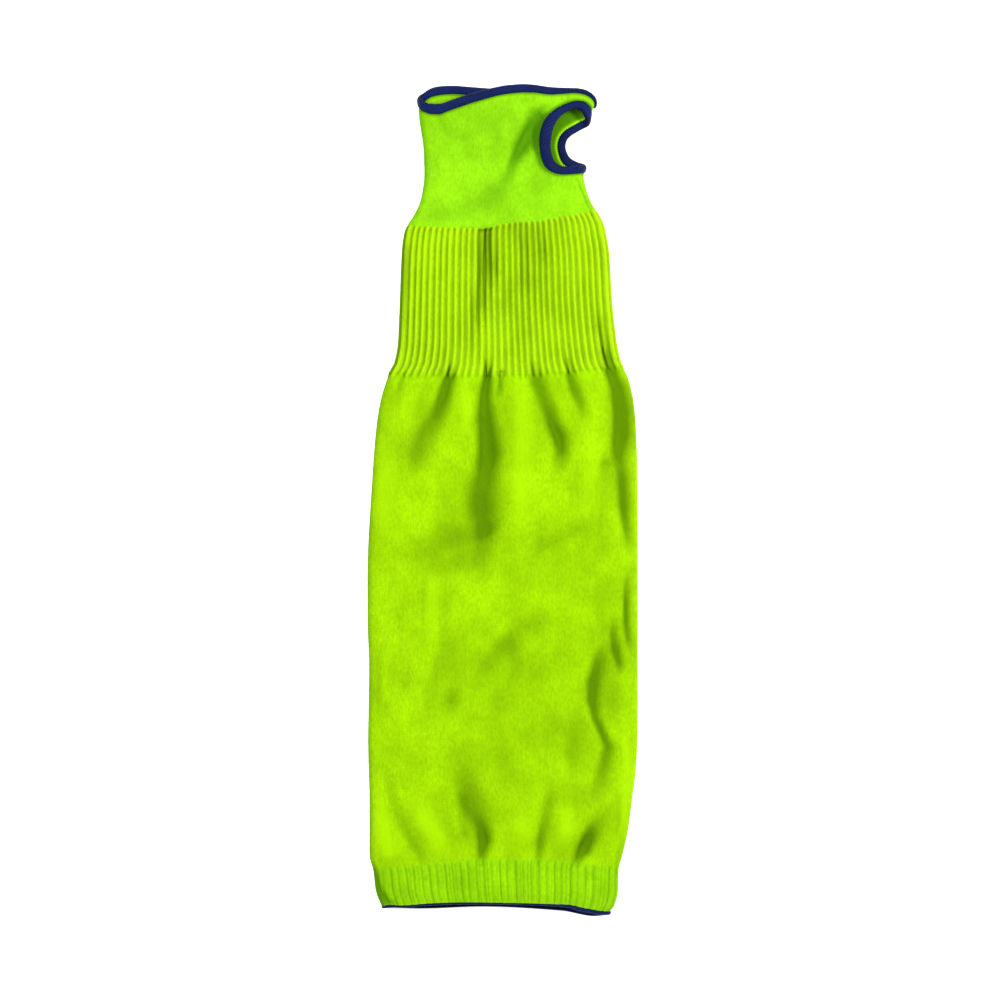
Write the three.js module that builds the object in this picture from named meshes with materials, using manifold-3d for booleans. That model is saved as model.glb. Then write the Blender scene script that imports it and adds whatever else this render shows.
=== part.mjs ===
// A knitted cut resistant sleeve with a thumb opening, lying flat on a surface.
// X runs across the sleeve, Y along it towards the hand end, and Z up. Lengths are millimetres.
import * as THREE from 'three';
import { mergeVertices } from 'three/addons/utils/BufferGeometryUtils.js';
import Module from 'manifold-3d';

// Lengths along the sleeve, from the hand end to the upper arm
const HAND_LENGTH = 79.5;
const WRIST_LENGTH = 80;
const ARM_LENGTH = 269.5;
const HEM_LENGTH = 26;

// Widths of the zones laid flat
const HAND_WIDTH = 87;
const WRIST_WIDTH = 116.5;
const ARM_WIDTH = 148;
const HEM_WIDTH = 132;

// Heights over the surface that the sleeve lies on
const HAND_LOFT = 13.5;
const WRIST_LOFT = 14;
const ARM_LOFT = 17.5;
const HEM_LOFT = 14;
const SIDE_FOLD = 7.5;

// The fabric, its ribs and the deepest dent in each zone
const KNIT_WALL = 1.5;
const RIB_WALL = 1.5;
const RIB_DEPTH = 1.3;
const WRIST_RIBS = 68;
const HEM_RIBS = 64;
const HAND_DENT = 2.2;
const WRIST_DENT = 2.4;
const ARM_DENT = 4.2;

// The thumb opening, unrolled from the right side fold
const THUMB_WIDTH = 41;
const THUMB_HEIGHT = 36;
const THUMB_START = 11;

// The binding that wraps each raw edge
const BINDING_WIDTH = 4.6;
const BINDING_THICKNESS = 3.8;
const BINDING_NOSE = 1.3;
const HEM_BINDING_WIDTH = 3;
const CLEARANCE = 0.3;

// How far each edge and seam strays from a straight line across
const MOUTH_DIP = 10.7;
const HAND_SEAM_RISE = 9.6;
const WRIST_SEAM_RISE = 4.4;
const HEM_SEAM_RISE = 2.2;
const HEM_EDGE_RISE = 6;

// How finely the solids are faceted
const FRONT_STEPS = 26;
const BACK_STEPS = 7;
const FOLD_STEPS = 4;
const OUTLINE_STEPS = 32;
const PLUG_RINGS = 8;
const BEAD_SIDES = 8;

// Half the thickness of what carries the back layer, which sets how high its middle lies
const ON_KNIT = KNIT_WALL / 2;
const ON_RIB = (RIB_WALL + RIB_DEPTH) / 2;
const ON_BINDING = BINDING_THICKNESS / 2;

// The zones. at is a share of the zone's length, left and right are shares of half its width,
// loft is a share of its loft, and rest is the height of the back layer's middle.
const HAND = {
  start: 0,
  length: HAND_LENGTH,
  width: HAND_WIDTH,
  loft: HAND_LOFT,
  dent: HAND_DENT,
  sections: [
    { at: 0.0, left: 1.03, right: 1.2, loft: 1.0, rest: ON_BINDING },
    { at: 0.1, left: 1.03, right: 1.19, loft: 1.0, rest: ON_BINDING },
    { at: 0.19, left: 1.02, right: 1.14, loft: 1.0, rest: ON_BINDING },
    { at: 0.27, left: 1.01, right: 1.115, loft: 1.0, rest: ON_BINDING },
    { at: 0.45, left: 0.98, right: 1.08, loft: 0.98, rest: ON_BINDING },
    { at: 0.61, left: 0.965, right: 1.035, loft: 0.95, rest: ON_BINDING },
    { at: 0.71, left: 0.985, right: 1.065, loft: 0.95, rest: ON_KNIT },
    { at: 0.79, left: 1.015, right: 1.115, loft: 0.98, rest: ON_KNIT },
    { at: 0.88, left: 1.075, right: 1.205, loft: 1.02, rest: ON_RIB },
    { at: 0.95, left: 1.166, right: 1.274, loft: 1.06, rest: ON_RIB },
  ],
};
const WRIST = {
  start: HAND.start + HAND.length,
  length: WRIST_LENGTH,
  width: WRIST_WIDTH,
  loft: WRIST_LOFT,
  dent: WRIST_DENT,
  sections: [
    { at: 0.02, left: 0.917, right: 0.98, loft: 0.97, rest: ON_RIB },
    { at: 0.14, left: 0.941, right: 1.008, loft: 1.0, rest: ON_RIB },
    { at: 0.48, left: 0.96, right: 1.04, loft: 1.0, rest: ON_RIB },
    { at: 0.76, left: 0.98, right: 1.083, loft: 1.0, rest: ON_RIB },
    { at: 0.9, left: 1.011, right: 1.13, loft: 1.03, rest: ON_RIB },
  ],
};
const ARM = {
  start: WRIST.start + WRIST.length,
  length: ARM_LENGTH,
  width: ARM_WIDTH,
  loft: ARM_LOFT,
  dent: ARM_DENT,
  sections: [
    { at: 0.0, left: 0.84, right: 0.934, loft: 0.88, rest: ON_RIB },
    { at: 0.05, left: 0.897, right: 0.976, loft: 0.99, rest: ON_KNIT },
    { at: 0.1, left: 0.927, right: 0.993, loft: 1.0, rest: ON_KNIT },
    { at: 0.2, left: 0.96, right: 1.005, loft: 1.0, rest: ON_KNIT },
    { at: 0.41, left: 0.99, right: 1.008, loft: 0.95, rest: ON_KNIT },
    { at: 0.66, left: 0.986, right: 1.008, loft: 0.92, rest: ON_KNIT },
    { at: 0.82, left: 0.982, right: 0.993, loft: 0.95, rest: ON_KNIT },
    { at: 0.92, left: 0.978, right: 0.942, loft: 0.92, rest: ON_KNIT },
    { at: 0.98, left: 0.976, right: 0.893, loft: 0.76, rest: ON_RIB },
  ],
};
const HEM = {
  start: ARM.start + ARM.length,
  length: HEM_LENGTH,
  width: HEM_WIDTH,
  loft: HEM_LOFT,
  dent: 0,
  sections: [
    { at: 0.12, left: 1.06, right: 0.968, loft: 1.0, rest: ON_RIB },
    { at: 0.54, left: 1.04, right: 0.964, loft: 0.96, rest: ON_BINDING },
    { at: 0.85, left: 0.992, right: 0.935, loft: 0.94, rest: ON_BINDING },
    { at: 1.0, left: 0.964, right: 0.897, loft: 0.93, rest: ON_BINDING },
  ],
};
const ZONES = [HAND, WRIST, ARM, HEM];
const TOTAL_LENGTH = HEM.start + HEM.length;

// Dents in the front layer. The ends' x is a share of half the zone's width and at a share of its
// length, width is a share of half the zone's width, and depth a share of the zone's deepest dent.
const DENTS = [
  { zone: HAND, x: 0.5, at: 0.29, toX: 0.22, toAt: 0.48, width: 0.12, depth: 1.0 },
  { zone: HAND, x: 0.22, at: 0.48, toX: 0.08, toAt: 0.64, width: 0.13, depth: 0.6 },
  { zone: HAND, x: -0.04, at: 0.7, toX: -0.78, toAt: 0.89, width: 0.2, depth: 0.35 },
  { zone: WRIST, x: -0.2, at: -0.02, toX: -0.24, toAt: 0.4, width: 0.08, depth: 1.0 },
  { zone: ARM, x: -0.78, at: 0.0, toX: -0.82, toAt: 0.05, width: 0.08, depth: 0.4 },
  { zone: ARM, x: -0.37, at: 0.0, toX: -0.62, toAt: 0.14, width: 0.1, depth: 0.75 },
  { zone: ARM, x: -0.12, at: 0.0, toX: -0.09, toAt: 0.17, width: 0.09, depth: 1.0 },
  { zone: ARM, x: 0.25, at: 0.0, toX: 0.47, toAt: 0.15, width: 0.09, depth: 0.9 },
  { zone: ARM, x: 0.52, at: 0.0, toX: 0.63, toAt: 0.09, width: 0.08, depth: 0.6 },
  { zone: ARM, x: 0.82, at: 0.0, toX: 0.89, toAt: 0.16, width: 0.09, depth: 0.7 },
  { zone: ARM, x: -0.11, at: 0.2, toX: -0.05, toAt: 0.31, width: 0.12, depth: 0.55 },
  { zone: ARM, x: -0.6, at: 0.36, toX: -0.04, toAt: 0.32, width: 0.12, depth: 0.45 },
  { zone: ARM, x: 0.14, at: 0.51, toX: -0.12, toAt: 0.62, width: 0.12, depth: 0.4 },
  { zone: ARM, x: 0.74, at: 0.58, toX: 0.66, toAt: 0.67, width: 0.09, depth: 0.55 },
  { zone: ARM, x: 0.66, at: 0.67, toX: 0.79, toAt: 0.77, width: 0.08, depth: 0.45 },
  { zone: ARM, x: -0.8, at: 0.89, toX: -0.61, toAt: 1.0, width: 0.09, depth: 0.35 },
  { zone: ARM, x: -0.2, at: 0.86, toX: -0.13, toAt: 0.98, width: 0.09, depth: 0.7 },
  { zone: ARM, x: 0.38, at: 0.87, toX: 0.29, toAt: 1.0, width: 0.09, depth: 0.5 },
  { zone: ARM, x: 0.64, at: 0.92, toX: 0.58, toAt: 1.0, width: 0.09, depth: 0.7 },
];

// Edges and seams round the sleeve. around is the share of the way round, from the left side fold
// over the front layer to the right side fold at one half, and back under. reach is a share of the
// edge's or seam's own dip or rise.
const MOUTH_EDGE = [
  { around: 0.0, reach: 0.62 },
  { around: 0.03, reach: 0.8 },
  { around: 0.07, reach: 1.0 },
  { around: 0.12, reach: 0.69 },
  { around: 0.2, reach: 0.23 },
  { around: 0.31, reach: 0.0 },
  { around: 0.42, reach: 0.18 },
  { around: 0.46, reach: 0.31 },
  { around: 0.5, reach: 0.8 },
  { around: 0.54, reach: 0.42 },
  { around: 0.75, reach: 0.19 },
  { around: 0.85, reach: 0.1 },
  { around: 0.93, reach: 0.0 },
  { around: 0.97, reach: 0.2 },
];
const HAND_SEAM = [
  { around: 0.0, reach: 0.17 },
  { around: 0.1, reach: 0.09 },
  { around: 0.2, reach: 0.0 },
  { around: 0.26, reach: 0.1 },
  { around: 0.42, reach: 0.75 },
  { around: 0.48, reach: 1.0 },
  { around: 0.6, reach: 0.75 },
  { around: 0.8, reach: 0.3 },
];
const WRIST_SEAM = [
  { around: 0.0, reach: 0.25 },
  { around: 0.25, reach: 0.0 },
  { around: 0.5, reach: 1.0 },
  { around: 0.75, reach: 0.5 },
];
const HEM_SEAM = [
  { around: 0.0, reach: 0.0 },
  { around: 0.25, reach: 1.0 },
  { around: 0.5, reach: 0.2 },
  { around: 0.75, reach: 0.6 },
];
const HEM_EDGE = [
  { around: 0.0, reach: 0.65 },
  { around: 0.1, reach: 0.85 },
  { around: 0.25, reach: 1.0 },
  { around: 0.4, reach: 0.75 },
  { around: 0.5, reach: 0.1 },
  { around: 0.6, reach: 0.3 },
  { around: 0.75, reach: 0.8 },
];

// The thumb opening's raw edge. in is measured from the right side fold as a share of
// THUMB_WIDTH, over the front layer where it is positive, and down is a share of THUMB_HEIGHT.
const THUMB_OUTLINE = [
  { in: 0.0, down: 0.17 },
  { in: 0.27, down: 0.0 },
  { in: 0.44, down: 0.04 },
  { in: 0.55, down: 0.17 },
  { in: 0.61, down: 0.42 },
  { in: 0.6, down: 0.66 },
  { in: 0.49, down: 0.91 },
  { in: 0.28, down: 0.99 },
  { in: 0.0, down: 1.0 },
  { in: -0.28, down: 0.86 },
  { in: -0.39, down: 0.6 },
  { in: -0.34, down: 0.43 },
  { in: -0.2, down: 0.33 },
];

// The finish of the knitted yarn and of the binding
const knit = new THREE.MeshStandardMaterial({ color: 0x9fe800, roughness: 0.85, metalness: 0 });
const bindingYarn = new THREE.MeshStandardMaterial({ color: 0x1a2266, roughness: 0.7, metalness: 0 });

const wasm = await Module();
wasm.setup();

const lerp = THREE.MathUtils.lerp;
const shareOf = (value, low, high) => (value - low) / (high - low);

// A smooth value that never overshoots its rows: key runs along the table, and name is the column
function fromTable(rows, key, name, at) {
  const last = rows.length - 1;
  const place = THREE.MathUtils.clamp(at, rows[0][key], rows[last][key]);
  const next = Math.max(1, rows.findIndex((row) => row[key] >= place));
  const rise = (i) => (rows[i][name] - rows[i - 1][name]) / (rows[i][key] - rows[i - 1][key]);
  const slope = (i) => {
    if (i === 0 || i === last) return 0;
    const [before, after] = [rise(i), rise(i + 1)];
    return before * after > 0 ? (2 * before * after) / (before + after) : 0;
  };
  const span = rows[next][key] - rows[next - 1][key];
  const t = (place - rows[next - 1][key]) / span;
  const start = (1 + 2 * t) * (1 - t) ** 2 * rows[next - 1][name] + t * (1 - t) ** 2 * span * slope(next - 1);
  const end = t * t * (3 - 2 * t) * rows[next][name] + t * t * (t - 1) * span * slope(next);
  return start + end;
}

// The rows of an edge table, carried on past both ends so that it closes on itself
function closedRows(rows) {
  const before = { ...rows.at(-1), around: rows.at(-1).around - 1 };
  const after = rows.slice(0, 2).map((row) => ({ ...row, around: row.around + 1 }));
  return [before, ...rows, ...after];
}

// A line round the sleeve: how far along it lies at a share of the way round
function lineRound(rows, level, sway) {
  const closed = closedRows(rows);
  return (around) => level + sway * fromTable(closed, 'around', 'reach', around);
}

const mouthLine = lineRound(MOUTH_EDGE, HAND.start, MOUTH_DIP);
const handSeam = lineRound(HAND_SEAM, WRIST.start, -HAND_SEAM_RISE);
const wristSeam = lineRound(WRIST_SEAM, ARM.start, -WRIST_SEAM_RISE);
const hemSeam = lineRound(HEM_SEAM, HEM.start, -HEM_SEAM_RISE);
const hemLine = lineRound(HEM_EDGE, TOTAL_LENGTH, -HEM_EDGE_RISE);

// Every section of the sleeve in millimetres, from the hand end to the upper arm
const STATIONS = ZONES.flatMap((zone) =>
  zone.sections.map((row) => ({
    along: zone.start + row.at * zone.length,
    left: (row.left * zone.width) / 2,
    right: (row.right * zone.width) / 2,
    loft: row.loft * zone.loft,
    rest: row.rest,
  })),
);

const station = (name, along) => fromTable(STATIONS, 'along', name, along);
const foldRadius = (SIDE_FOLD - KNIT_WALL) / 2;
const quarterFold = (Math.PI * foldRadius) / 2;
const layerWidth = (along) => station('left', along) + station('right', along) - 2 * foldRadius;
const loopLength = (along) => 2 * layerWidth(along) + 4 * quarterFold;

// How deep the front layer is dented at a point x across and along
function dentDepth(x, along) {
  let depth = 0;
  for (const dent of DENTS) {
    const half = dent.zone.width / 2;
    const start = new THREE.Vector2(dent.x * half, dent.zone.start + dent.at * dent.zone.length);
    const run = new THREE.Vector2(dent.toX * half, dent.zone.start + dent.toAt * dent.zone.length).sub(start);
    const offset = new THREE.Vector2(x, along).sub(start);
    const share = THREE.MathUtils.clamp(offset.dot(run) / run.lengthSq(), 0, 1);
    const away = offset.addScaledVector(run, -share).length() / (dent.width * half);
    depth += dent.depth * dent.zone.dent * Math.exp(-away * away);
  }
  return depth;
}

// The middle of the fabric, at a share of the way round and a distance along the sleeve
function middle(around, along) {
  const turn = around - Math.floor(around);
  const [left, right] = [station('left', along), station('right', along)];
  const rest = station('rest', along);
  const flat = layerWidth(along);
  const way = turn * loopLength(along);
  const point = new THREE.Vector3(0, TOTAL_LENGTH / 2 - along, rest);
  const bend = (centre, angle) => {
    point.x = centre + foldRadius * Math.cos(angle);
    point.z += foldRadius * (1 + Math.sin(angle));
  };
  if (way < quarterFold) {
    bend(foldRadius - left, Math.PI - way / foldRadius);
  } else if (way < quarterFold + flat) {
    point.x = foldRadius - left + way - quarterFold;
    point.z += 2 * foldRadius;
  } else if (way < 3 * quarterFold + flat) {
    bend(right - foldRadius, Math.PI / 2 - (way - quarterFold - flat) / foldRadius);
  } else if (way < 3 * quarterFold + 2 * flat) {
    point.x = right - foldRadius - (way - 3 * quarterFold - flat);
  } else {
    bend(foldRadius - left, -Math.PI / 2 - (way - 3 * quarterFold - 2 * flat) / foldRadius);
  }
  if (turn < 0.5) {
    const crown = station('loft', along) - KNIT_WALL / 2 - rest - 2 * foldRadius;
    const across = Math.abs(4 * turn - 1);
    const swell = 1 - across ** 3;
    point.z += crown * swell - dentDepth(point.x, along) * Math.sqrt(swell);
  }
  return point;
}

// A point off the middle of the fabric, outwards where offset is positive
function skin(around, along, offset) {
  const [turn, step] = [1e-4, 1e-2];
  const round = middle(around + turn, along).sub(middle(around - turn, along));
  const down = middle(around, along + step).sub(middle(around, along - step));
  return middle(around, along).addScaledVector(down.cross(round).normalize(), offset);
}

// A closed solid swept round a loop. corner(i, j) is corner j of its section at step i.
function ringSolid(steps, corners, corner) {
  const positions = [];
  const faces = [];
  for (let i = 0; i < steps; i++) {
    for (let j = 0; j < corners; j++) {
      const [next, below] = [(i + 1) % steps, (j + 1) % corners];
      positions.push(...corner(i, j).toArray());
      faces.push(i * corners + j, i * corners + below, next * corners + below);
      faces.push(i * corners + j, next * corners + below, next * corners + j);
    }
  }
  const geometry = new THREE.BufferGeometry();
  geometry.setAttribute('position', new THREE.Float32BufferAttribute(positions, 3));
  geometry.setIndex(faces);
  geometry.computeVertexNormals();
  return geometry;
}

// Columns round a plain zone, closer together on the side folds. The last one is short of a turn.
function plainColumns(zone) {
  const along = zone.start + zone.length / 2;
  const fold = quarterFold / loopLength(along);
  const stops = [
    { to: fold, steps: FOLD_STEPS },
    { to: 0.5 - fold, steps: FRONT_STEPS },
    { to: 0.5 + fold, steps: 2 * FOLD_STEPS },
    { to: 1 - fold, steps: BACK_STEPS },
    { to: 1, steps: FOLD_STEPS },
  ];
  const columns = [];
  let from = 0;
  for (const { to, steps } of stops) {
    for (let i = 0; i < steps; i++) columns.push(lerp(from, to, i / steps));
    from = to;
  }
  return columns;
}

// Two columns to a rib, one on its crest and one in the valley beside it
const ribColumns = (ribs) => Array.from({ length: 2 * ribs }, (_, i) => i / (2 * ribs));

// The wall of one zone: down the outside of the fabric and back up its inside
function wallSolid({ columns, rows, top, bottom, wall, ribAt = () => 0 }) {
  const path = [
    ...rows.map((share) => ({ share, side: 1 })),
    ...rows.toReversed().map((share) => ({ share, side: -1 })),
  ];
  return ringSolid(columns.length, path.length, (i, j) => {
    const { share, side } = path[j];
    const around = columns[i];
    const rib = (i % 2 ? -0.5 : 0.5) * RIB_DEPTH * ribAt(share);
    return skin(around, lerp(top(around), bottom(around), share), (side * wall) / 2 + rib);
  });
}

const shifted = (line, distance) => (around) => line(around) + distance;

// A closed mesh as a solid that can be cut, and back
function toSolid(geometry) {
  const bare = new THREE.BufferGeometry();
  bare.setAttribute('position', geometry.getAttribute('position'));
  bare.setIndex(geometry.getIndex());
  const merged = mergeVertices(bare);
  return new wasm.Manifold(
    new wasm.Mesh({
      numProp: 3,
      vertProperties: merged.getAttribute('position').array,
      triVerts: new Uint32Array(merged.getIndex().array),
    }),
  );
}

function toGeometry(solid) {
  const { vertProperties, triVerts } = solid.getMesh();
  const geometry = new THREE.BufferGeometry();
  geometry.setAttribute('position', new THREE.BufferAttribute(vertProperties, 3));
  geometry.setIndex(new THREE.BufferAttribute(triVerts, 1));
  geometry.computeVertexNormals();
  return geometry;
}

// The thumb opening's raw edge, unrolled: x in from the right side fold over the front, y along
const thumbTop = HAND.start + THUMB_START;
const thumbCurve = new THREE.CatmullRomCurve3(
  THUMB_OUTLINE.map((row) => new THREE.Vector3(row.in * THUMB_WIDTH, thumbTop + row.down * THUMB_HEIGHT, 0)),
  true,
);
const thumbEdge = thumbCurve.getSpacedPoints(OUTLINE_STEPS).slice(0, OUTLINE_STEPS);
const thumbCentre = thumbEdge.reduce((sum, point) => sum.add(point), new THREE.Vector3()).divideScalar(OUTLINE_STEPS);

// A point of the unrolled fabric beside the right side fold, put back on the sleeve
const rolled = (spot, offset) => skin(0.5 - spot.x / loopLength(spot.y), spot.y, offset);

// A corner of the thumb opening's outline, grown outwards into the fabric by a distance
function thumbSpot(i, growth) {
  const [before, after] = [thumbEdge.at(i - 1), thumbEdge[(i + 1) % OUTLINE_STEPS]];
  const run = after.clone().sub(before).normalize();
  const outwards = new THREE.Vector3(run.y, -run.x, 0);
  if (outwards.dot(thumbEdge[i].clone().sub(thumbCentre)) < 0) outwards.negate();
  return thumbEdge[i].clone().addScaledVector(outwards, growth);
}

// A disc that follows the fabric and fills the thumb opening, with square sides
function thumbPlug(growth) {
  const reach = 0.75 * foldRadius;
  const shares = Array.from({ length: PLUG_RINGS + 1 }, (_, i) => i / PLUG_RINGS);
  const profile = [
    ...shares.map((share) => new THREE.Vector2(share, -reach)),
    ...shares.toReversed().map((share) => new THREE.Vector2(share, reach)),
  ];
  const disc = new THREE.LatheGeometry(profile, OUTLINE_STEPS);
  const position = disc.getAttribute('position');
  for (let v = 0; v < position.count; v++) {
    const step = Math.floor(v / profile.length) % OUTLINE_STEPS;
    const { x: share, y: offset } = profile[v % profile.length];
    const spot = thumbCentre.clone().lerp(thumbSpot(step, growth), share);
    position.setXYZ(v, ...rolled(spot, offset).toArray());
  }
  return toSolid(disc);
}

const handColumns = plainColumns(HAND);
const HAND_ROWS = [0, 0.06, 0.2, 0.34, 0.48, 0.62, 0.8, 1];

// The hand zone's wall with the thumb opening cut out, thicker and longer by growth on every side
function handSolid(growth) {
  const wall = wallSolid({
    columns: handColumns,
    rows: HAND_ROWS,
    top: shifted(mouthLine, -growth),
    bottom: shifted(handSeam, -CLEARANCE / 2),
    wall: KNIT_WALL + 2 * growth,
  });
  return toSolid(wall).subtract(thumbPlug(-growth));
}

function wristGeometry() {
  return wallSolid({
    columns: ribColumns(WRIST_RIBS),
    rows: [0, 0.15, 0.6, 1],
    top: shifted(handSeam, CLEARANCE / 2),
    bottom: shifted(wristSeam, -CLEARANCE / 2),
    wall: RIB_WALL,
    ribAt: () => 1,
  });
}

function armGeometry() {
  return wallSolid({
    columns: plainColumns(ARM),
    rows: [0, 0.04, 0.1, 0.16, 0.22, 0.29, 0.36, 0.46, 0.58, 0.68, 0.78, 0.88, 1],
    top: shifted(wristSeam, CLEARANCE / 2),
    bottom: shifted(hemSeam, -CLEARANCE / 2),
    wall: KNIT_WALL,
  });
}

// The hem's ribs close up at the raw edge, where the binding grips them
function hemGeometry() {
  return wallSolid({
    columns: ribColumns(HEM_RIBS),
    rows: [0, 0.78, 0.88, 1],
    top: shifted(hemSeam, CLEARANCE / 2),
    bottom: hemLine,
    wall: RIB_WALL,
    ribAt: (share) => (share < 0.8 ? 1 : 0),
  });
}

// A binding folded over a raw edge round the sleeve, clear of it by room on both sides.
// outwards is -1 at the hand end and 1 at the hem.
function foldedBinding({ columns, line, outwards, width, wall, room }) {
  const slot = wall / 2 + room;
  const [nose, tail] = [BINDING_NOSE, BINDING_NOSE - width];
  const full = BINDING_THICKNESS / 2;
  const half = [
    { out: 2 * CLEARANCE, off: slot },
    { out: tail, off: slot },
    { out: lerp(tail, nose, 0.2), off: full },
    { out: lerp(tail, nose, 0.8), off: 0.8 * full },
  ];
  const section = [
    ...half,
    { out: nose, off: 0 },
    ...half.toReversed().map(({ out, off }) => ({ out, off: -off })),
  ];
  const ordered = outwards > 0 ? section : section.toReversed();
  return ringSolid(columns.length, ordered.length, (i, j) => {
    const { out, off } = ordered[j];
    return skin(columns[i], line(columns[i]) + outwards * out, off);
  });
}

// A bead round the thumb opening's edge, cut back to a fold that clears the fabric inside it
function thumbBindingGeometry() {
  const setback = BINDING_WIDTH / 2 - BINDING_NOSE;
  const bead = ringSolid(OUTLINE_STEPS, BEAD_SIDES, (i, j) => {
    const angle = (2 * Math.PI * j) / BEAD_SIDES;
    const spot = thumbSpot(i, setback + (BINDING_WIDTH / 2) * Math.cos(angle));
    return rolled(spot, (-BINDING_THICKNESS / 2) * Math.sin(angle));
  });
  return toGeometry(toSolid(bead).subtract(handSolid(CLEARANCE)));
}

function named(name, geometry, material) {
  const mesh = new THREE.Mesh(geometry, material);
  mesh.name = name;
  return mesh;
}

const mouthBinding = foldedBinding({
  columns: handColumns,
  line: mouthLine,
  outwards: -1,
  width: BINDING_WIDTH,
  wall: KNIT_WALL,
  room: CLEARANCE,
});
const hemBinding = foldedBinding({
  columns: plainColumns(HEM),
  line: hemLine,
  outwards: 1,
  width: HEM_BINDING_WIDTH,
  wall: RIB_WALL,
  room: 2 * CLEARANCE,
});

const sleeve = new THREE.Group();
sleeve.add(
  named('hand_section', toGeometry(handSolid(0)), knit),
  named('wrist_rib', wristGeometry(), knit),
  named('arm_section', armGeometry(), knit),
  named('hem_rib', hemGeometry(), knit),
  named('hand_edge_binding', mouthBinding, bindingYarn),
  named('thumb_edge_binding', thumbBindingGeometry(), bindingYarn),
  named('hem_edge_binding', hemBinding, bindingYarn),
);

// The origin is the middle of the sleeve's outline, on the surface that it lies on
const outline = new THREE.Box3().setFromObject(sleeve);
const centre = outline.getCenter(new THREE.Vector3());
for (const mesh of sleeve.children) mesh.position.set(-centre.x, -centre.y, -outline.min.z);

export default sleeve;
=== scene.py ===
# Dresses the knitted sleeve: the fabric's folds, ribs and stitches, its bound edges, light and camera.
# Lengths are in millimetres until a mesh is made, which is in metres. The zones' lengths, the side
# folds and the fabric's wall are those of the solids.
import math

import bpy
import numpy as np
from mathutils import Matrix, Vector


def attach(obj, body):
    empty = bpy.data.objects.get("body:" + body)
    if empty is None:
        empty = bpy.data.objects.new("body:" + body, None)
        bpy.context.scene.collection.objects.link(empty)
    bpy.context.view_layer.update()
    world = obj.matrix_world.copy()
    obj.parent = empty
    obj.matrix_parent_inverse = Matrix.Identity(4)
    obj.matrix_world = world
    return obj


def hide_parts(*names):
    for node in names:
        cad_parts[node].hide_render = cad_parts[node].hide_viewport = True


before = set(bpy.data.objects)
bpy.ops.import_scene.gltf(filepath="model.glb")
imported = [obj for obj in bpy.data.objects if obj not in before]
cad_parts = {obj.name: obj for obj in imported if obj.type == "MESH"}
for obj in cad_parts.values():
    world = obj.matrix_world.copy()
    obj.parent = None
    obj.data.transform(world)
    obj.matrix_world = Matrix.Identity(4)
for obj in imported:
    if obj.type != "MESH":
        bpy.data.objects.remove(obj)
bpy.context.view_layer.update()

# Lengths along the sleeve, from the hand end to the upper arm
HAND_LENGTH = 79.5
WRIST_LENGTH = 80.0
ARM_LENGTH = 269.5
HEM_LENGTH = 26.0
WRIST_START = HAND_LENGTH
ARM_START = WRIST_START + WRIST_LENGTH
HEM_START = ARM_START + ARM_LENGTH
TOTAL_LENGTH = HEM_START + HEM_LENGTH

# The side folds, the fabric, its ribs and its stitches
SIDE_FOLD = 7.5
KNIT_WALL = 1.5
RIB_DEPTH = 1.5
WRIST_RIBS = 68
HEM_RIBS = 64
WALE, COURSE = 1.4, 1.05
FOLD_RADIUS = (SIDE_FOLD - KNIT_WALL) / 2
QUARTER_FOLD = math.pi * FOLD_RADIUS / 2

# How much deeper the folds are than their tables say, and how much steeper on their left. The
# length over which they fade in at the wrist's seam, and the share of the way round over which
# their painted shade fades in at the sides
FOLD_SCALE, LEAN = 1.35, 0.15
SEAM_FADE, SIDE_FADE = 1.5, 0.006

# How much painted shade darkens the hollow places, counted as a fold's depth, and how much a
# painted highlight lightens the back layer beside its part of the thumb opening's strip
WRIST_SHADE, HEM_SHADE, INNER_SHADE = 2.1, 2.1, 3.4
EDGE_SHADE, EDGE_SHADE_WIDTH = 3.4, 2.7
THUMB_SHADE, THUMB_SHADE_WIDTH, THUMB_SHADE_GROWTH = 4.2, 0.7, 1.9
OVERHANG_SHADE, OVERHANG_WIDTH, BACK_HIGHLIGHT = 2.0, 2.5, 8.0
MOUTH_SHADE, MOUTH_SHADE_WIDTH = 3.5, 0.8

# How far the seams lie from the zones' ends, how far the hand's fabric runs past its seam, and how
# far each edge and seam strays from a straight line across
HAND_SEAM_SHIFT, WRIST_SEAM_SHIFT, HEM_SEAM_SHIFT = -1.9, -1.0, 1.2
SEAM_LAP = 0.1
MOUTH_DIP = 10.7
HAND_SEAM_RISE = 9.6
WRIST_SEAM_RISE = 4.4
HEM_SEAM_RISE = 4.9
HEM_EDGE_RISE = 6.0

# The thumb opening, unrolled from the right side fold, and the bindings' widths and thicknesses
THUMB_WIDTH, THUMB_HEIGHT, THUMB_START = 41.0, 36.0, 10.5
BINDING_WIDTH, BINDING_THICKNESS = 4.7, 3.4
HEM_BINDING_WIDTH, HEM_BINDING_THICKNESS = 2.3, 2.6

# How far the hand end's strip stands out over the fabric's edge. The middle of the hem's strip
# lies past the fabric's edge by a length and by a share of its half width
MOUTH_OVERHANG = 1.3
HEM_STRIP_OUT, HEM_STRIP_SHARE = 0.3, 0.35

# The lengths round the two ends' strips, and the length that a turn of their thread takes up
MOUTH_LOOP, HEM_LOOP = 215.0, 270.0
THREAD_PITCH = 1.15

# The sleeve's own middle, as it lies in the row frame
MIDDLE_X, MIDDLE_Y = -0.675, -0.29

# The photograph's scale, and the point of it that lies over the sleeve's own middle
MM_PER_PIXEL = 0.5508
MIDDLE_PIXEL = (501.5, 500.0)


def rows(names, *values):
    """A table as a dictionary of columns."""
    return dict(zip(names.split(), np.array(values, dtype=float).T))


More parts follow.
